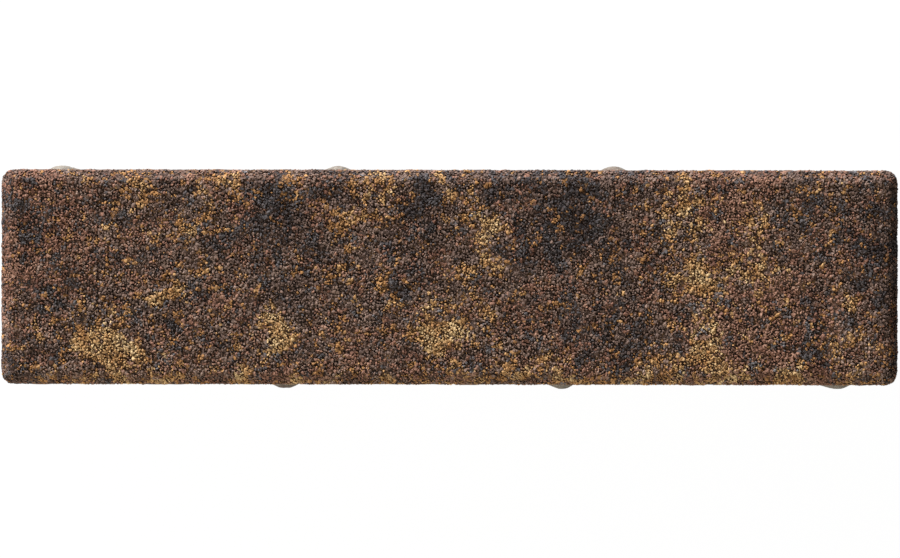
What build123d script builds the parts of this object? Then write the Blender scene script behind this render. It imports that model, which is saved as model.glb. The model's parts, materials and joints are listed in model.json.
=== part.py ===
from build123d import *

import math
import os

# A concrete paver in a long format, pressed in one piece: a bevelled walking face, plain sides as the mould
# wall leaves them, and upright spacer ribs on the long sides that keep the joint to the next paver open.
# Millimetres, +Z up, +X along the length, with the origin at the middle of the bed face.

# The block, without its ribs
length = 237.0
width = 57.0
thickness = 60.0

# The bevel that the pressing shoe leaves round the walking face, and its soft break into that face
bevel_width = 2.6
bevel_drop = 2.4
shoulder_radius = 1.2
face_corner_radius = 0.3

# The spacer ribs: a round back, a ball-shaped upper end, and a row on each long side
rib_radius = 6.0
rib_projection = 1.5
rib_clearance = 12.0
rib_count = 3
rib_pitch = 74.0
rib_stagger = 30.0

# The bevel has one width all the way round, so the block's corners follow from those of the walking face.
bevel_slope = math.atan2(bevel_drop, bevel_width)
shoulder_setback = shoulder_radius * math.tan(bevel_slope / 2)
corner_radius = face_corner_radius + shoulder_setback + bevel_width

# A rib is a cylinder sunk into the side, and the ball that ends it leaves the side at the clearance.
rib_axis = width / 2 + rib_projection - rib_radius
rib_half_width = math.sqrt(rib_radius**2 - (rib_radius - rib_projection) ** 2)
ball_height = thickness - rib_clearance - rib_half_width

with BuildPart() as paver:
    with BuildSketch() as outline:
        RectangleRounded(length, width, corner_radius)
    extrude(amount=thickness)

    walking_face = paver.faces().sort_by(Axis.Z)[-1]
    chamfer(walking_face.edges(), length=bevel_width, length2=bevel_drop, reference=walking_face)
    fillet(paver.faces().sort_by(Axis.Z)[-1].edges(), radius=shoulder_radius)

    # One row of ribs stands off-centre on the +Y side, and half a turn about Z gives the other.
    with PolarLocations(radius=0, count=2):
        with Locations((-rib_stagger, rib_axis)):
            with GridLocations(rib_pitch, 0, rib_count, 1):
                Cylinder(rib_radius, ball_height, align=(Align.CENTER, Align.CENTER, Align.MIN))
                with Locations((0, 0, ball_height)):
                    Sphere(rib_radius)

paver.part.label = "paver"

os.makedirs("parts", exist_ok=True)
export_step(paver.part, "parts/paver.step")
print(f"paver: {paver.part.bounding_box().size}, {paver.part.volume / 1000:.1f} cm3")
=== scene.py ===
# %% [markdown]
# # A concrete paver, grain by grain
# The paver is pressed in one go from two damp mixes. Most of it is grey concrete. The top few millimetres
# are a face mix of coloured grit, and the grit is what the eye sees: thousands of crumbs, coated in cement,
# with dark gaps between them. The solid gives the size and the edges, and this lesson gives it a surface.

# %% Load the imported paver
import json
import math
import random

import bmesh
import bpy
import numpy as np
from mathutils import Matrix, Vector

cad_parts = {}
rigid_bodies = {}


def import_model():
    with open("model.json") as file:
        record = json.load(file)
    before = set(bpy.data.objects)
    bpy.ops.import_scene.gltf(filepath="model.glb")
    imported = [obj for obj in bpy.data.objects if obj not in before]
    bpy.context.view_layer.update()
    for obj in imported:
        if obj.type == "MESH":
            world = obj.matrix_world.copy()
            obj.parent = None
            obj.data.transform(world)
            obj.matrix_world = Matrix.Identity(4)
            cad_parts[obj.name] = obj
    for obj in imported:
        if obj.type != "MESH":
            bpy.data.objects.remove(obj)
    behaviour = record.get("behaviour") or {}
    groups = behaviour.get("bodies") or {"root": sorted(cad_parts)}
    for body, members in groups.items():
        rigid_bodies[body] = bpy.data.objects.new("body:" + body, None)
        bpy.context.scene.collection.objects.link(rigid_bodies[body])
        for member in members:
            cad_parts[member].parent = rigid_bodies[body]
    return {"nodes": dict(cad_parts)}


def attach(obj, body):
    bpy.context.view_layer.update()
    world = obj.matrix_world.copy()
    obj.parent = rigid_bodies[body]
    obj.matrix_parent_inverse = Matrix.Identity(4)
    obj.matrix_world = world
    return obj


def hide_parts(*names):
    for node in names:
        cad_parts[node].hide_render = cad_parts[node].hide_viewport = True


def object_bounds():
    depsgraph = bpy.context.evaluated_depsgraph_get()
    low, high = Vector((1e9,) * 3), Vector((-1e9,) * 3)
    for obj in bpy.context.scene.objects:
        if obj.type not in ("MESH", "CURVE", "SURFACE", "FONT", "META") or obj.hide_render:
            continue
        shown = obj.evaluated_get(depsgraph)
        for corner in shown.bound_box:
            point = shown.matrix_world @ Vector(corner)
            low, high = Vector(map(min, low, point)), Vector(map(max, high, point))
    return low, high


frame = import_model()
cad_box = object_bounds()
MM = 0.001
lowest, highest = (Vector(corner) for corner in cad_box)
length, depth, thickness = highest - lowest
print("solid", [round(side / MM, 1) for side in (length, depth, thickness)], "mm")

# %% [markdown]
# ## A few helpers
# Node trees are easier to read when a node, its options and what feeds it stand in one place. One helper
# makes a node and wires its inputs, and the next ones wrap the nodes that come up most: sums, a change of
# range, a soft random cloud and the cells of a Voronoi pattern. They serve Geometry Nodes and materials
# alike. Clouds and cells grow on a hidden grid, so the place that feeds them is turned askew first. Otherwise
# the grid would show as faint rows and columns along the paver. A wobbled place makes the cells uneven.

# %% Helpers for node trees
ASKEW = (0.5, 0.35, 0.6)


def node(tree, kind, feeds=None, **options):
    made = tree.nodes.new(kind)
    for option, value in options.items():
        setattr(made, option, value)
    for socket, value in (feeds or {}).items():
        if isinstance(value, bpy.types.NodeSocket):
            tree.links.new(value, made.inputs[socket])
        else:
            made.inputs[socket].default_value = value
    return made


def sums(tree, operation, *values):
    return node(tree, "ShaderNodeMath", dict(enumerate(values)), operation=operation).outputs[0]


def spread(tree, value, from_range, to_range, smooth=False):
    feeds = {
        "Value": value,
        "From Min": from_range[0],
        "From Max": from_range[1],
        "To Min": to_range[0],
        "To Max": to_range[1],
    }
    kind = "SMOOTHSTEP" if smooth else "LINEAR"
    return node(tree, "ShaderNodeMapRange", feeds, interpolation_type=kind).outputs["Result"]


def askew(tree, place):
    feeds = {"Vector": place, "Rotation": ASKEW}
    return node(tree, "ShaderNodeVectorRotate", feeds, rotation_type="EULER_XYZ").outputs[0]


def stretched(tree, place, factors):
    return node(tree, "ShaderNodeVectorMath", {0: place, 1: factors}, operation="MULTIPLY").outputs[0]


def cloud(tree, place, size, detail=2.0):
    feeds = {"Vector": place, "Scale": 1 / size, "Detail": detail}
    return node(tree, "ShaderNodeTexNoise", feeds).outputs[0]


def cells(tree, place, size):
    made = node(tree, "ShaderNodeTexVoronoi", {"Vector": place, "Scale": 1 / size})
    return made.outputs["Distance"], made.outputs["Color"]


def wobbled(tree, place, size, amount):
    swirl = node(tree, "ShaderNodeTexNoise", {"Vector": place, "Scale": 1 / size}).outputs["Color"]
    feeds = {0: swirl, 1: (amount, amount, amount), 2: place}
    return node(tree, "ShaderNodeVectorMath", feeds, operation="MULTIPLY_ADD").outputs[0]


# %% [markdown]
# A modifier is only a recipe. The first helper here bakes what it makes into the object's own mesh, which
# leaves nothing live on the finished piece. The second one starts an empty tree for Geometry Nodes.


# %% Helpers for geometry
def settle(piece):
    graph = bpy.context.evaluated_depsgraph_get()
    shaped = bpy.data.meshes.new_from_object(
        piece.evaluated_get(graph), preserve_all_data_layers=True, depsgraph=graph
    )
    piece.modifiers.clear()
    piece.data = shaped


def geometry_tree(name):
    tree = bpy.data.node_groups.new(name, "GeometryNodeTree")
    tree.interface.new_socket("Geometry", in_out="INPUT", socket_type="NodeSocketGeometry")
    tree.interface.new_socket("Geometry", in_out="OUTPUT", socket_type="NodeSocketGeometry")
    return tree, tree.nodes.new("NodeGroupInput"), tree.nodes.new("NodeGroupOutput")


# %% [markdown]
# ## The block
# The block's shape is already right in the solid, with its bevel, its soft shoulder and its ribs. It only has
# too few faces to carry any relief. A copy with its loose triangles merged goes through a voxel remesh, which
# lays small even faces over all of it and breaks the sharp arrises a little, as on any pressed block.

# %% The block as an even mesh
CELL = 0.85 * MM
WELD = 0.001 * MM

solid = bmesh.new()
solid.from_mesh(frame["nodes"]["paver"].data)
bmesh.ops.remove_doubles(solid, verts=solid.verts, dist=WELD)
block_mesh = bpy.data.meshes.new("concrete_block")
solid.to_mesh(block_mesh)
solid.free()
block = bpy.data.objects.new("concrete_block", block_mesh)
bpy.context.scene.collection.objects.link(block)
even = block.modifiers.new("even faces", "REMESH")
even.mode = "VOXEL"
even.voxel_size = CELL
even.use_smooth_shade = True
settle(block)
print("block", len(block.data.vertices), "vertices")

# %% [markdown]
# ## Where each colour lies
# The coloured mixes are only half stirred together before they are pressed, so the grit lies in drifts. The
# drifts of ochre, anthracite and russet are listed here as soft round spots, in millimetres from the middle
# of the face: x, y, radius and strength. Round spots would look painted on, so every place is first stirred:
# two crossing waves push it to and fro by a few millimetres, which gives the spots ragged edges. Each vertex
# keeps how deep it lies in each colour. Brown fills the rest.

# %% Drifts of colour
STIR = 2.4
SHORT_WAVES = (1.7, 2.1)
LONG_WAVES = (3.9, 4.7)
OCHRE_DRIFTS = [
    (-107, -13, 3.0, 0.5), (-98, -15, 3.5, 0.9), (-89, -17, 6.0, 1.3), (-86, -24, 4.0, 0.8),
    (-71, -22, 5.0, 0.35), (-75, -5, 4.0, 1.2), (-83, 24, 4.5, 0.75), (-87, 4, 4.0, 0.45),
    (-67, 14, 4.5, 0.6), (-60, 23, 6.0, 0.5), (-67, 4, 4.0, 0.4), (-57, -18, 5.0, 0.3), (-45, -14, 4.5, 1.4),
    (-42, 25, 4.5, 0.55), (-27, 14, 4.5, 0.9), (-29, -16, 5.0, 0.45), (-29, 1, 4.0, 0.4),
    (-19, 23, 6.0, 0.55), (-13, 18, 4.0, 0.4), (-17, -4, 4.0, 0.7), (0, -22, 5.0, 0.4),
    (-4, -14, 5.0, 1.4), (1, -17, 3.5, 0.7), (0, 24, 4.5, 0.5), (5, 16, 4.0, 0.6),
    (11, 14, 4.0, 0.85), (8, 4, 4.5, 0.95), (9, -9, 3.5, 0.7), (2, -5, 3.5, 0.5),
    (12, -19, 4.5, 0.3), (19, -24, 4.5, 0.6), (26, -24, 4.5, 0.85), (43, -27, 4.5, 0.8),
    (56, -26, 5.0, 0.7), (63, 23, 5.5, 0.5), (57, 13, 4.0, 0.65), (66, 15, 5.0, 0.65),
    (64, 0, 6.0, 1.0), (67, -21, 7.0, 1.0), (82, 14, 6.0, 0.35), (81, 4, 6.5, 0.6),
    (79, -3, 4.0, 0.4), (86, -27, 5.0, 0.45), (97, 22, 5.0, 0.5), (102, -17, 4.5, 0.5),
    # From here the spots at y = -29 run along the near bevel: its own ochre, also laid on strong to brighten
    # that bevel, which is painted light.
    (103, -4, 3.5, 0.4), (111, -18, 4.0, 0.4), (-108, -29, 3.5, 0.6), (-98, -29, 3.5, 0.8),
    (-86, -29, 3.5, 0.7), (-75, -29, 3.5, 1.0), (-64, -29, 3.5, 0.5), (-53, -29, 3.5, 0.9),
    (-42, -29, 3.5, 0.8), (-31, -29, 3.5, 1.0), (-19, -29, 3.5, 0.7), (-8, -29, 3.5, 0.9),
    (4, -29, 3.5, 0.8), (15, -29, 3.5, 0.8), (33, -29, 3.5, 0.8), (49, -29, 3.5, 0.6),
    (74, -29, 3.5, 0.9), (93, -29, 3.5, 0.9), (105, -29, 3.5, 0.7), (114, -29, 3.5, 0.5),
]
ANTHRACITE_DRIFTS = [
    (-112, 14, 9.0, 0.45), (-104, 18, 5.0, 0.35), (-104, -4, 6.0, 0.6), (-111, -22, 6.0, 0.4),
    (-47, 17, 8.0, 0.9), (-58, 7, 6.0, 0.4), (-35, 5, 7.0, 0.45), (-9, 17, 7.0, 0.9),
    (-38, 22, 6.0, 0.4), (-12, -2, 6.0, 0.45), (13, 24, 7.0, 0.7), (31, 20, 9.0, 0.8),
    (36, 13, 7.0, 0.6), (23, 8, 7.0, 0.45), (40, -16, 11.0, 0.45), (47, 6, 6.0, 0.4),
    (95, 16, 6.0, 0.5), (113, 10, 9.0, 0.75), (95, -18, 6.0, 0.5), (-76, -13, 4.0, 0.6), (114, -8, 6.0, 0.4),
]
RUSSET_DRIFTS = [
    (84, -14, 12.0, 1.5), (92, -22, 8.0, 0.9), (68, -11, 7.0, 0.8), (75, 22, 9.0, 1.0),
    (-112, 4, 12.0, 0.8), (-107, 21, 9.0, 0.9), (-97, 9, 8.0, 0.4), (-71, -22, 6.0, 0.7),
    (-27, -24, 6.0, 0.7), (-53, 21, 6.0, 0.5), (72, 9, 6.0, 0.5), (98, 8, 6.0, 0.4),
    (20, -10, 7.0, 0.4), (-60, -8, 6.0, 0.4), (-85, -29, 9.0, 0.5), (-45, -29, 9.0, 0.6),
    (-5, -29, 9.0, 0.5), (35, -29, 9.0, 0.6), (70, -29, 9.0, 0.8), (100, -29, 8.0, 0.5),
]


def keep(mesh, name, values):
    mesh.attributes.new(name, "FLOAT", "POINT").data.foreach_set("value", values.astype(np.float32))


def depth_in(drifts, x, y):
    depths = 0
    for drift_x, drift_y, radius, strength in drifts:
        depths = depths + strength * np.exp(-((x - drift_x) ** 2 + (y - drift_y) ** 2) / radius**2)
    return depths


places = np.empty(len(block.data.vertices) * 3, np.float32)
block.data.vertices.foreach_get("co", places)
x, y, z = (places.reshape(-1, 3) / MM).T
stirred_x = x + STIR * np.sin(y / SHORT_WAVES[0] + x / LONG_WAVES[0])
stirred_y = y + STIR * np.sin(x / SHORT_WAVES[1] - y / LONG_WAVES[1])
all_drifts = {"ochre": OCHRE_DRIFTS, "anthracite": ANTHRACITE_DRIFTS, "russet": RUSSET_DRIFTS}
for colour, drifts in all_drifts.items():
    keep(block.data, colour, depth_in(drifts, stirred_x, stirred_y))
    print(len(drifts), "drifts of", colour)

# %% [markdown]
# The grit fills the walking face and its bevel, and it fades out on the sides just below them, where the
# mould's wall has pressed it flat. A mask on the block keeps that, with 1 for a full bed of grit.

# %% The bed of grit
BEVEL_DROP = 2.4
FULL_BELOW_BEVEL = 1.2
FADE_HEIGHT = 1.6

full_bed = thickness / MM - BEVEL_DROP - FULL_BELOW_BEVEL
end_of_bed = full_bed - FADE_HEIGHT
keep(block.data, "grit_bed", np.clip((z - end_of_bed) / (full_bed - end_of_bed), 0, 1))
print("grit down to", round(end_of_bed, 1), "mm")

# %% [markdown]
# ## The shapes of grit
# Crushed grit is angular, and the cement that coats it rounds it. Points thrown on a ball and wrapped in
# their convex hull give just such a lump, with flat faces that each catch the light in their own way. A few
# shapes of granules and of simpler fines are enough, because each one in the face is turned and sized
# differently, and shapes with so few faces keep thousands of them light. Each corner keeps how near it is to
# the crown of its crumb, so that the finish can paint shade on the rim, where the crumbs shade each other.

# %% Shapes of granules and fines
UNEVEN = (0.90, 1.10)
LONG = 1.15
BROAD = (0.84, 1.05)
FLAT = 0.76


def crumb_shapes(name, count, corners, seed):
    chance = random.Random(seed)
    made = bpy.data.collections.new(name)
    bpy.context.scene.collection.children.link(made)
    for number in range(count):
        crumb = bmesh.new()
        crown = crumb.verts.layers.float.new("crown")
        for _ in range(corners):
            way = Vector([chance.gauss(0, 1) for _ in range(3)]).normalized()
            crumb.verts.new(way / 2 * chance.uniform(*UNEVEN))
        hull = bmesh.ops.convex_hull(crumb, input=crumb.verts)
        inside = [part for part in hull["geom_interior"] if isinstance(part, bmesh.types.BMVert)]
        bmesh.ops.delete(crumb, geom=inside, context="VERTS")
        bmesh.ops.scale(crumb, vec=(LONG, chance.uniform(*BROAD), FLAT), verts=crumb.verts)
        bmesh.ops.recalc_face_normals(crumb, faces=crumb.faces)
        # The crown is kept for the painted shade that darkens each crumb towards its rim.
        top = max(corner.co.z for corner in crumb.verts)
        for corner in crumb.verts:
            corner[crown] = corner.co.z / top
        crumb_mesh = bpy.data.meshes.new(f"{name}_{number}")
        crumb.to_mesh(crumb_mesh)
        crumb.free()
        made.objects.link(bpy.data.objects.new(f"{name}_{number}", crumb_mesh))
    print(count, name, "shapes of", corners, "corners")
    return made


granules = crumb_shapes("granule", count=16, corners=12, seed=11)
fines = crumb_shapes("fine", count=8, corners=6, seed=12)

# %% [markdown]
# ## Drawing lots for colour
# Geometry Nodes spread points over the bed of grit, never closer than a set distance. Each point scores for
# each colour: the drift that it lies in, a cloud a few crumbs wide, and some luck. A high score takes the
# colour, which gives clumps with ragged edges as well as single specks. Browns are what is left. Each colour
# reads the clouds in a mirrored place, so that the clumps of one don't follow those of another.

# %% The draw for colour
CHOCOLATE, RUSSET, UMBER, ANTHRACITE, OCHRE = range(5)
OCHRE_FROM = 0.43
ANTHRACITE_FROM = 0.40
RUSSET_FROM = 0.24
UMBER_BELOW = -0.10
CLUMP_DETAIL = 3.0
SAME_KIND = 0.1

scatter, given, result = geometry_tree("scatter grit")
kept_kind = scatter.interface.new_socket("Kind", in_out="INPUT", socket_type="NodeSocketFloat")


def attribute(tree, name):
    feeds = {"Name": name}
    return node(tree, "GeometryNodeInputNamedAttribute", feeds, data_type="FLOAT").outputs["Attribute"]


def lot(tree, seed, low=0.0, high=1.0):
    feeds = {2: low, 3: high, "Seed": seed}
    return node(tree, "FunctionNodeRandomValue", feeds, data_type="FLOAT").outputs[1]


def score(place, drift, weight, clump, clump_weight, luck, seed):
    patch = spread(scatter, cloud(scatter, place, clump, CLUMP_DETAIL), (0, 1), (-clump_weight, clump_weight))
    chance = sums(scatter, "ADD", patch, lot(scatter, seed, -luck, luck))
    return sums(scatter, "MULTIPLY_ADD", attribute(scatter, drift), weight, chance)


position = node(scatter, "GeometryNodeInputPosition").outputs[0]
here = askew(scatter, position)
ochre_score = score(here, "ochre", weight=0.92, clump=2.8 * MM, clump_weight=1.5, luck=0.34, seed=11)
elsewhere = stretched(scatter, here, (1, -1, 1))
dark_score = score(
    elsewhere, "anthracite", weight=0.85, clump=4.5 * MM, clump_weight=1.5, luck=0.34, seed=12
)
behind = stretched(scatter, here, (-1, 1, 1))
red_score = score(behind, "russet", weight=1.0, clump=5.0 * MM, clump_weight=1.2, luck=0.40, seed=13)
is_ochre = sums(scatter, "GREATER_THAN", ochre_score, OCHRE_FROM)
is_dark = sums(scatter, "GREATER_THAN", dark_score, ANTHRACITE_FROM)
is_red = sums(scatter, "GREATER_THAN", red_score, RUSSET_FROM)
is_umber = sums(scatter, "LESS_THAN", red_score, UMBER_BELOW)
brown_kind = sums(scatter, "MULTIPLY_ADD", is_umber, UMBER, sums(scatter, "MULTIPLY", is_red, RUSSET))
dark_or_brown = spread(scatter, is_dark, (0, 1), (brown_kind, ANTHRACITE))
drawn_kind = spread(scatter, is_ochre, (0, 1), (dark_or_brown, OCHRE))
mine = sums(scatter, "COMPARE", drawn_kind, given.outputs["Kind"], SAME_KIND)
print("draw for colour with", len(scatter.nodes), "nodes")

# %% [markdown]
# ## Standing a crumb on each point
# The press levels the tops, so a big crumb sits deeper than a small one. The whole bed swells and dips a
# little, and a few crumbs lie deep enough to leave a pit. Each crumb keeps a number of its own, its tone,
# that its finish will turn into a shade: brighter among the ochre, darker among the anthracite. The faces of
# the block are shuffled first, because points are thrown face by face and would line up with their rows.

# %% Crumbs on the points
CANDIDATES = 12.0e6
BED_FROM = 0.05
FADE_SINK = 0.50 * MM
SEATED = 0.35
TILT = math.radians(22)
SWING = math.radians(80)
SWELL = 0.10 * MM
SWELL_SIZE = 3.4 * MM
MIDDLE = (0.3, 0.7)
RARE_PITS = 5.0
TONE_SEED, SHUFFLE_SEED = 8, 9
TONE_PATCH = 4.2 * MM
TONE_DETAIL = 3.0
PATCH_TONES = (0, 0.62)
OWN_TONE = 0.32
OCHRE_LIGHT, RUSSET_LIGHT, ANTHRACITE_LIGHT = 0.36, 0.12, -0.36

bed = attribute(scatter, "grit_bed")
shuffled = node(
    scatter,
    "GeometryNodeSortElements",
    {"Geometry": given.outputs["Geometry"], "Sort Weight": lot(scatter, SHUFFLE_SEED)},
    domain="FACE",
).outputs[0]


def swell(tree, place):
    return spread(tree, cloud(tree, place, SWELL_SIZE), MIDDLE, (-SWELL, SWELL))


patch_tone = spread(scatter, cloud(scatter, here, TONE_PATCH, TONE_DETAIL), MIDDLE, PATCH_TONES)
own_tone = sums(scatter, "ADD", patch_tone, lot(scatter, TONE_SEED, 0, OWN_TONE))
sunny = sums(scatter, "MULTIPLY_ADD", attribute(scatter, "ochre"), OCHRE_LIGHT, own_tone)
lighter = sums(scatter, "MULTIPLY_ADD", attribute(scatter, "russet"), RUSSET_LIGHT, sunny)
tone = sums(scatter, "MULTIPLY_ADD", attribute(scatter, "anthracite"), ANTHRACITE_LIGHT, lighter)
fade = spread(scatter, bed, (0, 1), (FADE_SINK, 0))
dip = sums(scatter, "SUBTRACT", fade, swell(scatter, here))


def stand(crumb_kinds, spacing, sizes, favour, depths, seed):
    points = node(
        scatter,
        "GeometryNodeDistributePointsOnFaces",
        {
            "Mesh": shuffled,
            "Selection": sums(scatter, "GREATER_THAN", bed, BED_FROM),
            "Distance Min": spacing,
            "Density Max": CANDIDATES,
            "Seed": seed,
        },
        distribute_method="POISSON",
    )
    size = spread(scatter, sums(scatter, "POWER", lot(scatter, seed + 1), favour), (0, 1), sizes)
    pit = spread(scatter, sums(scatter, "POWER", lot(scatter, seed + 2), RARE_PITS), (0, 1), depths)
    sink = sums(scatter, "MULTIPLY_ADD", size, SEATED, sums(scatter, "ADD", pit, dip))
    inwards = node(
        scatter,
        "ShaderNodeVectorMath",
        {0: points.outputs["Normal"], 3: sums(scatter, "MULTIPLY", sink, -1)},
        operation="SCALE",
    ).outputs[0]
    lowered = node(
        scatter, "GeometryNodeSetPosition", {"Geometry": points.outputs["Points"], "Offset": inwards}
    )
    turn = node(
        scatter,
        "FunctionNodeRandomValue",
        {0: (-TILT, -TILT, -SWING), 1: (TILT, TILT, SWING), "Seed": seed + 3},
        data_type="FLOAT_VECTOR",
    ).outputs[0]
    turned = node(
        scatter,
        "FunctionNodeRotateRotation",
        {
            "Rotation": points.outputs["Rotation"],
            "Rotate By": node(scatter, "FunctionNodeEulerToRotation", {0: turn}).outputs[0],
        },
        rotation_space="LOCAL",
    ).outputs[0]
    shapes = node(
        scatter,
        "GeometryNodeCollectionInfo",
        {"Collection": crumb_kinds, "Separate Children": True, "Reset Children": True},
    )
    pick = node(
        scatter,
        "FunctionNodeRandomValue",
        {4: 0, 5: len(crumb_kinds.objects) - 1, "Seed": seed + 4},
        data_type="INT",
    ).outputs[2]
    crumbs = node(
        scatter,
        "GeometryNodeInstanceOnPoints",
        {
            "Points": lowered.outputs[0],
            "Selection": mine,
            "Instance": shapes.outputs[0],
            "Pick Instance": True,
            "Instance Index": pick,
            "Rotation": turned,
            "Scale": size,
        },
    )
    toned = node(
        scatter,
        "GeometryNodeStoreNamedAttribute",
        {"Geometry": crumbs.outputs[0], "Name": "tone", "Value": tone},
        data_type="FLOAT",
        domain="INSTANCE",
    )
    return node(scatter, "GeometryNodeRealizeInstances", {0: toned.outputs[0]}).outputs[0]


coarse = stand(
    granules, spacing=0.53 * MM, sizes=(0.60 * MM, 1.60 * MM), favour=2.4, depths=(0, 0.55 * MM), seed=20
)
small = stand(
    fines, spacing=0.68 * MM, sizes=(0.35 * MM, 0.75 * MM), favour=1.5, depths=(0.04 * MM, 0.50 * MM), seed=30
)
both = node(scatter, "GeometryNodeJoinGeometry")
for part in (coarse, small):
    scatter.links.new(part, both.inputs[0])
scatter.links.new(both.outputs[0], result.inputs[0])
print("scatter of grit with", len(scatter.nodes), "nodes")


# %% [markdown]
# The same draw runs once for each colour and keeps its own crumbs, so each colour is a piece with a finish.


# %% Five colours of grit
def sow(name, kind):
    piece = bpy.data.objects.new(name, block.data)
    bpy.context.scene.collection.objects.link(piece)
    grit = piece.modifiers.new("grit", "NODES")
    grit.node_group = scatter
    grit[kept_kind.identifier] = float(kind)
    settle(piece)
    print(name, len(piece.data.polygons), "triangles")
    return piece


chocolate_grit = sow("chocolate_grit", CHOCOLATE)
russet_grit = sow("russet_grit", RUSSET)
umber_grit = sow("umber_grit", UMBER)
anthracite_grit = sow("anthracite_grit", ANTHRACITE)
ochre_grit = sow("ochre_grit", OCHRE)
for shapes in (granules, fines):
    for shape in list(shapes.objects):
        bpy.data.objects.remove(shape)
    bpy.data.collections.remove(shapes)

# %% [markdown]
# ## Relief on the block
# Under the grit the block's own surface is pressed down, and there it is the cement between the crumbs. In
# places smears of it rise higher and fill the gaps, and on the upright sides, where the mould's wall has
# pressed the grit flush, the bed is shallower. Lower down and underneath, the concrete has the open texture
# of a mix that is rammed almost dry: stones and sand pressed flush, seams between them, and pores. The mould
# also leaves fine upright drag marks as it is pulled off. All of this goes inwards, so the block keeps its
# size. Each vertex keeps how deep it lies in a pore.

# %% Pores, seams, drag marks and the bed under the grit
BED_DEPTH = 0.50 * MM
FLUSH = 0.22 * MM
STEEP = (0.2, 0.6)
SMEAR_RISE = 0.20 * MM
SMEAR_SIZE = 6.0 * MM
SMEAR_DETAIL = 3.0
SMEARED = (0.48, 0.70)
PORE_DEPTH = 1.3 * MM
SMALL_PORE_DEPTH = 0.65 * PORE_DEPTH
PORE_LOTS = (0.35, 0.75)
NO_PORE = 0.001
STONE = 2.8 * MM
SEAM_DEPTH = 0.24 * MM
DRAG = 0.07 * MM
DRAG_WIDTH = 1.8 * MM
UPRIGHT = (1, 1, 0.04)
SEAM = (0.42, 0.80)

relief, given, result = geometry_tree("relief")
position = node(relief, "GeometryNodeInputPosition").outputs[0]
outwards = node(relief, "GeometryNodeInputNormal").outputs[0]
here = askew(relief, position)


def pores(tree, place, size, radius, depth):
    distance, own_lot = cells(tree, wobbled(tree, place, size / 2, size / 4), size)
    width = spread(tree, own_lot, PORE_LOTS, (radius, NO_PORE))
    return spread(tree, distance, (0, width), (depth, 0), smooth=True)


big_pores = pores(relief, here, size=5.5 * MM, radius=0.36, depth=PORE_DEPTH)
small_pores = pores(relief, here, size=2.9 * MM, radius=0.48, depth=SMALL_PORE_DEPTH)
pore = sums(relief, "MAXIMUM", big_pores, small_pores)
stone_distance, stone_lot = cells(relief, wobbled(relief, here, STONE, STONE), STONE)
seam = spread(relief, stone_distance, SEAM, (0, SEAM_DEPTH), smooth=True)
sunk = spread(relief, stone_lot, MIDDLE, (0, SEAM_DEPTH / 2))
drag = spread(relief, cloud(relief, stretched(relief, position, UPRIGHT), DRAG_WIDTH), MIDDLE, (0, DRAG))
texture = sums(relief, "ADD", sums(relief, "MAXIMUM", seam, sunk), drag)
bare = sums(relief, "ADD", pore, texture)


def smeared(tree, place):
    return spread(tree, cloud(tree, place, SMEAR_SIZE, SMEAR_DETAIL), SMEARED, (0, 1), smooth=True)


filled = sums(relief, "MULTIPLY_ADD", smeared(relief, here), SMEAR_RISE, swell(relief, here))
facing_up = node(relief, "ShaderNodeSeparateXYZ", {0: outwards}).outputs["Z"]
bed_depth = spread(relief, facing_up, STEEP, (FLUSH, BED_DEPTH))
under = sums(relief, "MAXIMUM", sums(relief, "SUBTRACT", bed_depth, filled), 0)
lower = spread(relief, attribute(relief, "grit_bed"), (0, 1), (bare, under))
feeds = {0: outwards, 3: sums(relief, "MULTIPLY", lower, -1)}
along = node(relief, "ShaderNodeVectorMath", feeds, operation="SCALE").outputs[0]
noted = node(
    relief,
    "GeometryNodeStoreNamedAttribute",
    {"Geometry": given.outputs[0], "Name": "pore", "Value": sums(relief, "DIVIDE", pore, PORE_DEPTH)},
    data_type="FLOAT",
    domain="POINT",
)
moved = node(relief, "GeometryNodeSetPosition", {"Geometry": noted.outputs[0], "Offset": along})
relief.links.new(moved.outputs[0], result.inputs[0])
block.modifiers.new("relief", "NODES").node_group = relief
settle(block)
print("relief on", len(block.data.vertices), "vertices")

# %% [markdown]
# ## Finishes
# Every finish here is matt and is coloured by the place on the paver, so that no two crumbs and no two
# corners of the block look the same. These helpers make a material, a ramp of colours, a blend of two colours
# and the wiring of colour, roughness and bump to the shader.


# %% Helpers for finishes
SHEEN = 0.12
BUMP = 0.6


def finish(name):
    made = bpy.data.materials.new(name)
    made.use_nodes = True
    tree = made.node_tree
    return made, tree, tree.nodes["Principled BSDF"]


def ramp(tree, value, stops):
    made = node(tree, "ShaderNodeValToRGB", {0: value})
    steps = made.color_ramp.elements
    while len(steps) < len(stops):
        steps.new(0.5)
    for step, (place, colour) in zip(steps, stops):
        step.position = place
        step.color = (*colour, 1)
    return made.outputs[0]


def blend(tree, share, first, second):
    made = node(tree, "ShaderNodeMix", {0: share}, data_type="RGBA")
    for socket, value in ((6, first), (7, second)):
        if isinstance(value, bpy.types.NodeSocket):
            tree.links.new(value, made.inputs[socket])
        else:
            made.inputs[socket].default_value = (*value, 1)
    return made.outputs[2]


def surface_of(tree, shader, colour, roughness, height, bump_depth):
    tree.links.new(colour, shader.inputs["Base Color"])
    tree.links.new(roughness, shader.inputs["Roughness"])
    bump = node(tree, "ShaderNodeBump", {"Height": height, "Distance": bump_depth, "Strength": BUMP})
    tree.links.new(bump.outputs[0], shader.inputs["Normal"])
    shader.inputs["Specular IOR Level"].default_value = SHEEN
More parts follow.
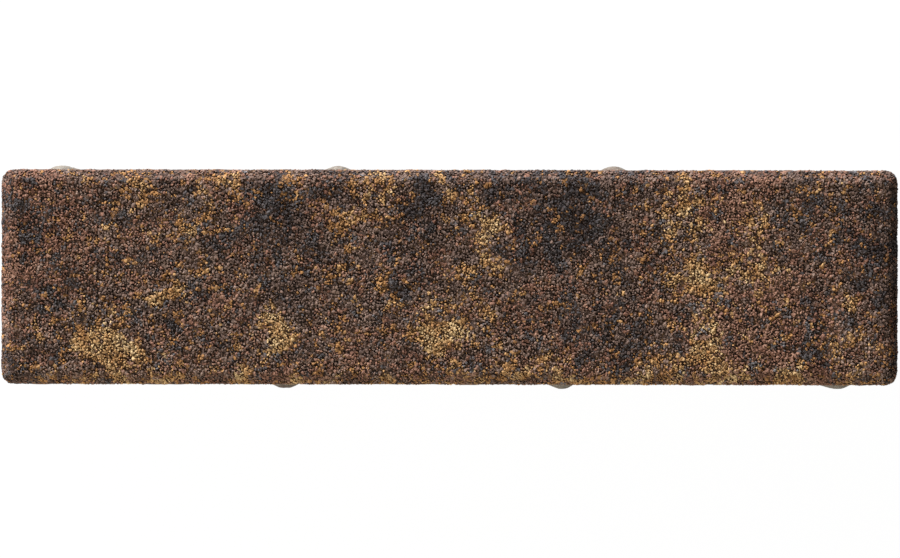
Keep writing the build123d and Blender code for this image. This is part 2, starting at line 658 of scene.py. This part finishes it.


# %% [markdown]
# A crumb is as light or dark as its tone says. A film of brown cement covers part of it, in patches about as
# big as a crumb, and joins it to its neighbours. Towards the rim it takes painted shade, almost black on the
# browns and brown on the ochre, which draws the gaps between the crumbs. The film is a little smoother than
# the bare grit, and a fine bump stands for the sand in both.

# %% Finishes of the grit
PASTE = (0.090, 0.052, 0.036)
# The next two colours are painted shade for the rims of the crumbs and the gaps between them; the ochre one
# is warmed by the ochre around it.
PAINTED_SHADE = (0.020, 0.012, 0.008)
OCHRE_PAINTED_SHADE = (0.075, 0.036, 0.014)
FILM_SIZE = 1.0 * MM
FILM_DETAIL = 3.0
FILM_FROM = (0.45, 0.70)
FILM_SHARE = 0.6
BARE_TO_COATED = (0.90, 0.70)
RIM_SHADE_FROM = (-0.10, 0.50)
RIM_SHADE_SHARE = 0.85
SAND_SIZE = 0.25 * MM
SAND_DEPTH = 0.05 * MM


def grit_finish(name, stops, rim_shade):
    made, tree, shader = finish(name)
    tone = node(tree, "ShaderNodeAttribute", attribute_name="tone").outputs["Fac"]
    place = askew(tree, node(tree, "ShaderNodeTexCoord").outputs["Object"])
    film = spread(tree, cloud(tree, place, FILM_SIZE, FILM_DETAIL), FILM_FROM, (0, FILM_SHARE), smooth=True)
    coated = blend(tree, film, ramp(tree, tone, stops), PASTE)
    crown = node(tree, "ShaderNodeAttribute", attribute_name="crown").outputs["Fac"]
    # Painted shade: each crumb darkens from its crown towards its rim.
    colour = blend(tree, spread(tree, crown, RIM_SHADE_FROM, (RIM_SHADE_SHARE, 0), smooth=True), coated, rim_shade)
    roughness = spread(tree, film, (0, FILM_SHARE), BARE_TO_COATED)
    surface_of(tree, shader, colour, roughness, cloud(tree, place, SAND_SIZE), SAND_DEPTH)
    return made


chocolate_finish = grit_finish("chocolate grit", [
    (0.0, (0.087, 0.053, 0.039)), (0.5, (0.185, 0.117, 0.086)), (1.0, (0.29, 0.195, 0.143)),
], PAINTED_SHADE)
russet_finish = grit_finish("russet grit", [
    (0.0, (0.115, 0.051, 0.033)), (0.5, (0.235, 0.116, 0.074)), (1.0, (0.33, 0.188, 0.122)),
], PAINTED_SHADE)
umber_finish = grit_finish("umber grit", [
    (0.0, (0.065, 0.041, 0.032)), (0.5, (0.145, 0.094, 0.071)), (1.0, (0.26, 0.178, 0.132)),
], PAINTED_SHADE)
anthracite_finish = grit_finish("anthracite grit", [
    (0.0, (0.032, 0.026, 0.025)), (0.5, (0.077, 0.067, 0.064)), (1.0, (0.16, 0.143, 0.136)),
], PAINTED_SHADE)
ochre_finish = grit_finish("ochre grit", [
    (0.0, (0.165, 0.077, 0.030)), (0.5, (0.36, 0.175, 0.062)), (0.85, (0.48, 0.287, 0.122)),
    (1.0, (0.56, 0.38, 0.185)),
], OCHRE_PAINTED_SHADE)
print("five finishes of grit")

# %% [markdown]
# ## The concrete of the block
# The face mix goes down the sides for a few millimetres, flattened by the mould wall, and ends in a wavy
# line. Voronoi cells stand for its grains, with cement between them, and their colours follow the same
# drifts. Under the grit only the gaps between the crumbs show, so there it gets painted shade, less where it
# is smeared.

# %% Face mix on the sides
FACE_MIX = 7.5 * MM
GRAIN = 0.9 * MM
GRAIN_WOBBLE = 0.7 * MM
DRIFT_PULL = 0.14
BETWEEN_GRAINS = (0.35, 0.75)
CEMENT_SHARE = 0.85
FACE_FILM = 1.3 * MM
GAP_SHADE_SHARES = (0.6, 0.1)
HALF_BED = (0.5, 1)
OCHRE_GAP_SHADE = (0.2, 0.9)

concrete, tree, shader = finish("concrete")
position = node(tree, "ShaderNodeTexCoord").outputs["Object"]
place = askew(tree, position)
height = node(tree, "ShaderNodeSeparateXYZ", {0: position}).outputs["Z"]


def kept(name):
    return node(tree, "ShaderNodeAttribute", attribute_name=name).outputs["Fac"]


grain_distance, grain_lot = cells(tree, wobbled(tree, place, GRAIN, GRAIN_WOBBLE), GRAIN)
warm = sums(tree, "MULTIPLY_ADD", kept("ochre"), DRIFT_PULL, grain_lot)
drawn = sums(tree, "MULTIPLY_ADD", kept("anthracite"), -DRIFT_PULL, warm)
face_grains = ramp(tree, drawn, [
    (0.25, (0.045, 0.040, 0.039)), (0.42, (0.10, 0.062, 0.046)), (0.55, (0.17, 0.102, 0.073)),
    (0.66, (0.21, 0.112, 0.078)), (0.78, (0.38, 0.21, 0.090)),
])
cemented = spread(tree, grain_distance, BETWEEN_GRAINS, (0, CEMENT_SHARE), smooth=True)
face_film = spread(tree, cloud(tree, place, FACE_FILM, FILM_DETAIL), MIDDLE, (0, FILM_SHARE))
flattened = blend(tree, sums(tree, "MAXIMUM", cemented, face_film), face_grains, PASTE)
# Painted shade in the gaps between the crumbs, lighter where cement is smeared into them.
gap_shade_share = spread(tree, smeared(tree, place), (0, 1), GAP_SHADE_SHARES)
gap_shade = spread(tree, kept("grit_bed"), HALF_BED, (0, gap_shade_share))
gap_shade_colour = blend(tree, spread(tree, kept("ochre"), OCHRE_GAP_SHADE, (0, 1)), PAINTED_SHADE, OCHRE_PAINTED_SHADE)
face_mix = blend(tree, gap_shade, flattened, gap_shade_colour)
print("face mix", FACE_MIX / MM, "mm deep")

# %% [markdown]
# Below the face mix is the core: stones and sand in beige-grey cement, with darker seams and painted shade in
# its pores. Lime that came out while it cured lies on it as a thin pale bloom.

# %% Core of grey concrete
SEAM_COLOUR_AND_PORE_SHADE = (0.052, 0.043, 0.034)
LIME = (0.275, 0.250, 0.212)
SAND_GRAIN = 0.75 * MM
SAND_WOBBLE = (0.6 * MM, 0.5 * MM)
CEMENT_CLOUD, CEMENT_DETAIL = 18 * MM, 7.0
BARED_CLOUD, BARED_DETAIL = 7 * MM, 4.0
BARED_SHARES = (0.2, 0.85)
SAND_SHARE = 0.55
BLOOM_CLOUD, BLOOM_DETAIL = 22 * MM, 9.0
BLOOM_FROM = (0.50, 0.68)
BLOOM_SHARE = 0.55
SEAM_SHARES = (0.5, 0.1)
SEAM_LINE = (0.50, 0.85)
PORE_SHADE_RANGE = (0.1, 0.7)
PORE_SHADE_SHARE = 0.85

stone_distance, stone_lot = cells(tree, wobbled(tree, place, STONE, STONE), STONE)
sand_distance, sand_lot = cells(tree, wobbled(tree, place, *SAND_WOBBLE), SAND_GRAIN)
cement = ramp(tree, cloud(tree, place, CEMENT_CLOUD, CEMENT_DETAIL), [
    (0.3, (0.132, 0.110, 0.083)), (0.5, (0.173, 0.145, 0.111)), (0.7, (0.215, 0.182, 0.142)),
])
stones = ramp(tree, stone_lot, [
    (0.22, (0.095, 0.081, 0.065)), (0.50, (0.170, 0.142, 0.109)), (0.70, (0.238, 0.202, 0.159)),
    (0.82, (0.215, 0.150, 0.108)),
])
sand = ramp(tree, sand_lot, [
    (0.22, (0.058, 0.049, 0.040)), (0.42, (0.152, 0.127, 0.097)), (0.60, (0.205, 0.173, 0.135)),
    (0.80, (0.345, 0.305, 0.245)),
])
bared = spread(tree, cloud(tree, place, BARED_CLOUD, BARED_DETAIL), MIDDLE, BARED_SHARES)
aggregate = blend(tree, SAND_SHARE, stones, sand)
mortar = blend(tree, bared, cement, aggregate)
bloom_cloud = cloud(tree, place, BLOOM_CLOUD, BLOOM_DETAIL)
bloom = spread(tree, bloom_cloud, BLOOM_FROM, (0, BLOOM_SHARE), smooth=True)
limed = blend(tree, bloom, mortar, LIME)
clear = spread(tree, bloom, (0, BLOOM_SHARE), SEAM_SHARES)
in_seams = spread(tree, stone_distance, SEAM_LINE, (0, clear), smooth=True)
# Painted shade in the pores, deeper as the pore is deeper; the seams are a darker colour of their own.
seams_and_pore_shade = sums(tree, "MAXIMUM", in_seams, spread(tree, kept("pore"), PORE_SHADE_RANGE, (0, PORE_SHADE_SHARE)))
core = blend(tree, seams_and_pore_shade, limed, SEAM_COLOUR_AND_PORE_SHADE)
print("core with stones of", STONE / MM, "mm")

# %% [markdown]
# As the mould is pulled off it drags a little of the face mix down the sides, in upright streaks that fade
# out towards the bottom. The line between the two mixes waves up and down, grain by grain.

# %% Streaks, the line between the mixes, and the surface
STREAK_END = 0.3 * thickness
STREAK_WIDTH = 2.6 * MM
STREAK_DETAIL = 4.0
STREAK_FROM = (0.46, 0.70)
STREAK_SHARE = 0.85
STREAK_PATCH = 2.0 * MM
PATCH_SHARES = (0.4, 1.0)
WAVE, WAVE_SIZE = 1.8 * MM, 16 * MM
RAGGED, RAGGED_SIZE = 0.9 * MM, 1.2 * MM
LINE = (-0.2 * MM, 0.2 * MM)
GLOSS_PATCH = 1.5 * MM
ROUGH = (0.80, 0.95)
SAND_DIP = -0.8
FINE_SAND = 0.4 * MM
SAND_RELIEF = 0.3 * MM

streak_cloud = cloud(tree, stretched(tree, position, UPRIGHT), STREAK_WIDTH, STREAK_DETAIL)
streaks = spread(tree, streak_cloud, STREAK_FROM, (0, STREAK_SHARE))
reach = spread(tree, height, (STREAK_END, thickness - FACE_MIX), (0, 1), smooth=True)
patchy = spread(tree, cloud(tree, place, STREAK_PATCH, STREAK_DETAIL), MIDDLE, PATCH_SHARES)
stain = sums(tree, "MULTIPLY", streaks, sums(tree, "MULTIPLY", reach, patchy))
streaked = blend(tree, stain, core, PASTE)
wave = spread(tree, cloud(tree, place, WAVE_SIZE), MIDDLE, (-WAVE, WAVE))
ragged = spread(tree, cloud(tree, place, RAGGED_SIZE, FILM_DETAIL), MIDDLE, (-RAGGED, RAGGED))
over_line = sums(tree, "SUBTRACT", sums(tree, "ADD", height, wave), thickness - FACE_MIX)
in_face_mix = spread(tree, sums(tree, "ADD", over_line, ragged), LINE, (0, 1))
colour = blend(tree, in_face_mix, streaked, face_mix)
roughness = spread(tree, cloud(tree, place, GLOSS_PATCH), MIDDLE, ROUGH)
fine_sand = cloud(tree, place, FINE_SAND, FILM_DETAIL)
sand_height = sums(tree, "MULTIPLY_ADD", sand_distance, SAND_DIP, fine_sand)
surface_of(tree, shader, colour, roughness, sand_height, SAND_RELIEF)
print("concrete with", len(tree.nodes), "nodes")

# %% [markdown]
# Each piece takes its finish and rides on the paver's only body. The block stands in for the solid.

# %% Finishes on the pieces
for piece, made in (
    (block, concrete),
    (chocolate_grit, chocolate_finish),
    (russet_grit, russet_finish),
    (umber_grit, umber_finish),
    (anthracite_grit, anthracite_finish),
    (ochre_grit, ochre_finish),
):
    piece.data.materials.clear()
    piece.data.materials.append(made)
    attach(piece, "root")
    print(piece.name, "is", made.name)
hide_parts("paver")

# %% [markdown]
# ## Floor
# The paver lies on plain white paper. For the camera the paper glows almost white by itself and only its last
# few hundredths come from the lamps, which keeps a faint shadow. For every other ray it is ordinary paper and
# throws light back on the sides.

# %% Floor
FLOOR_HALF = 4.0
FLOOR_GLOW = 0.95
FLOOR_SHADE = 0.08
PAPER = (0.8, 0.8, 0.8, 1)

sheet = bmesh.new()
bmesh.ops.create_grid(sheet, x_segments=1, y_segments=1, size=FLOOR_HALF)
floor_mesh = bpy.data.meshes.new("floor")
sheet.to_mesh(floor_mesh)
sheet.free()
floor = bpy.data.objects.new("floor", floor_mesh)
bpy.context.scene.collection.objects.link(floor)
paper, tree, shader = finish("paper")
shader.inputs["Base Color"].default_value = PAPER
shader.inputs["Roughness"].default_value = 1.0
shader.inputs["Specular IOR Level"].default_value = 0.0
seen = node(tree, "ShaderNodeLightPath").outputs["Is Camera Ray"]
glow = node(tree, "ShaderNodeEmission", {"Strength": FLOOR_GLOW})
faint = node(tree, "ShaderNodeBsdfDiffuse", {"Color": (FLOOR_SHADE, FLOOR_SHADE, FLOOR_SHADE, 1)})
lit = node(tree, "ShaderNodeAddShader", {0: glow.outputs[0], 1: faint.outputs[0]})
mixed = node(tree, "ShaderNodeMixShader", {0: seen, 1: shader.outputs[0], 2: lit.outputs[0]})
tree.links.new(mixed.outputs[0], tree.nodes["Material Output"].inputs["Surface"])
floor_mesh.materials.append(paper)
print("floor", 2 * FLOOR_HALF, "m wide")

# %% [markdown]
# ## Light
# A low cool lamp beyond the upper edge rakes over the face: the bevel that looks towards it comes out more
# than twice as bright as the face, and every crumb gets a lit side and a shadow. A higher, warm lamp from the
# lower left lights the face and the lower bevel, and a weak low one at the left lights the left bevel. No
# lamp stands at the right, so that bevel stays dark, with only the light from all round. Each lamp is given
# by its share of the light on a level surface, so that the shares and the surroundings add up to about one
# and a colour looks as it is written.

# %% World and lamps
AMBIENT = 0.17
WARM = (1.03, 1.0, 0.92)
COOL = (0.95, 1.0, 1.10)
LAMP_DISTANCE = 1.8

world = bpy.data.worlds.new("studio")
bpy.context.scene.world = world
world.use_nodes = True
tree = world.node_tree
sky = tree.nodes["Background"]
sky.inputs["Color"].default_value = (1, 1, 1, 1)
seen = node(tree, "ShaderNodeLightPath").outputs["Is Camera Ray"]
tree.links.new(spread(tree, seen, (0, 1), (AMBIENT, 1.0)), sky.inputs["Strength"])


def lamp(name, tint, azimuth, elevation, size, share):
    around, up = math.radians(azimuth), math.radians(elevation)
    data = bpy.data.lights.new(name, "AREA")
    data.shape = "DISK"
    data.color = tint
    data.size = size
    data.energy = share * math.pi**2 * LAMP_DISTANCE**2 / math.sin(up)
    made = bpy.data.objects.new(name, data)
    bpy.context.scene.collection.objects.link(made)
    way = Vector((math.cos(up) * math.cos(around), math.cos(up) * math.sin(around), math.sin(up)))
    made.location = Vector((0, 0, highest.z)) + way * LAMP_DISTANCE
    made.rotation_euler = way.to_track_quat("Z", "Y").to_euler()
    print(name, round(data.energy, 1), "W")


lamp("main", WARM, azimuth=247, elevation=31, size=0.5, share=0.29)
lamp("raking", COOL, azimuth=112, elevation=10, size=0.3, share=0.52)
lamp("side", COOL, azimuth=184, elevation=12, size=0.4, share=0.13)

# %% [markdown]
# ## Camera
# The photograph looks straight down from so far that no side shows. The lens follows from the size of a pixel
# on the paver at the height of its outline, just under the bevel, and the camera stands a few pixels off the
# middle, as the paver does in the picture.

# %% Camera
PICTURE = (900, 558)
PAVER_MIDDLE = (449.6, 277.2)
PIXEL = 0.2640 * MM
DISTANCE = 0.83
SENSOR = 36
ROLL = math.radians(0.1)

camera_data = bpy.data.cameras.new("camera")
camera = bpy.data.objects.new("camera", camera_data)
bpy.context.scene.collection.objects.link(camera)
bpy.context.scene.camera = camera
camera_data.sensor_width = SENSOR
camera_data.lens = SENSOR * (DISTANCE + BEVEL_DROP * MM) / (PICTURE[0] * PIXEL)
right = (PICTURE[0] / 2 - PAVER_MIDDLE[0]) * PIXEL
up = (PAVER_MIDDLE[1] - PICTURE[1] / 2) * PIXEL
camera.location = (right, up, highest.z + DISTANCE)
camera.rotation_euler = (0, 0, ROLL)
bpy.context.scene.view_settings.view_transform = "Standard"
print("lens", round(camera_data.lens), "mm")
